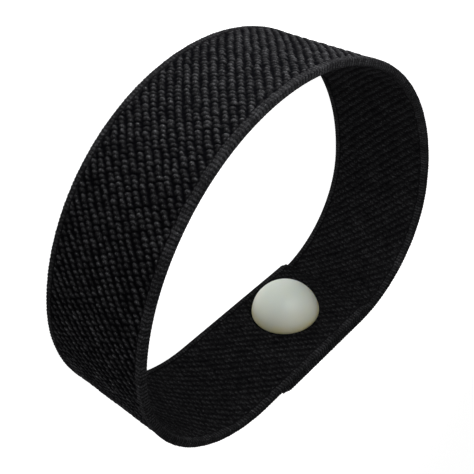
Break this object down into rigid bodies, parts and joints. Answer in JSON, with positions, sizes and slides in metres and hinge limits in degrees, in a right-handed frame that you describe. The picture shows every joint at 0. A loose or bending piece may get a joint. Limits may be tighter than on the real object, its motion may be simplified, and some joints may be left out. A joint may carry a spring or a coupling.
{
  "type": "esd wrist strap",
  "caption": "Closed elastic wrist band, ends lapped and riveted, smooth dome on the skin side, snap stud for a ground lead outside.",
  "frame": {"origin": "middle of the whole part's box, at the lower edge of the band, with the relaxed loop standing on that edge", "axes": "+Z across the band's width, +Y from the riveted lap to the far side of the loop, +X along the flat of the lap"},
  "size_m": [0.0556, 0.0488, 0.016],
  "materials": {
    "webbing": "black woven elastic twill with smooth selvedges, matt with a faint thread sheen",
    "rubber": "square cut rubber threads, dull",
    "dome_plastic": "milky white moulded plastic, semi-gloss",
    "plated_steel": "nickel-plated pressed steel, smooth"
  },
  "bodies": {
    "lap": {"band_inner_end": "webbing", "band_outer_end": "webbing", "rubber_inner_end": "rubber", "rubber_outer_end": "rubber", "band_left_bend": "webbing", "band_right_bend": "webbing", "rubber_left_bend": "rubber", "rubber_right_bend": "rubber", "rivet_dome": "dome_plastic", "hollow_rivet": "plated_steel", "inner_washer": "plated_steel", "outer_washer": "plated_steel", "snap_stud": "plated_steel"},
    "far_bow": {"band_far_bow": "webbing", "rubber_far_bow": "rubber"}
  },
  "joints": [
    {"name": "band_stretch", "type": "slide", "parent": "lap", "child": "far_bow", "axis": [0, 1, 0], "range_m": [0, 0.025], "stiffness_N_per_m": 250, "deforming": ["band_left_bend", "band_right_bend", "rubber_left_bend", "rubber_right_bend"]}
  ]
}
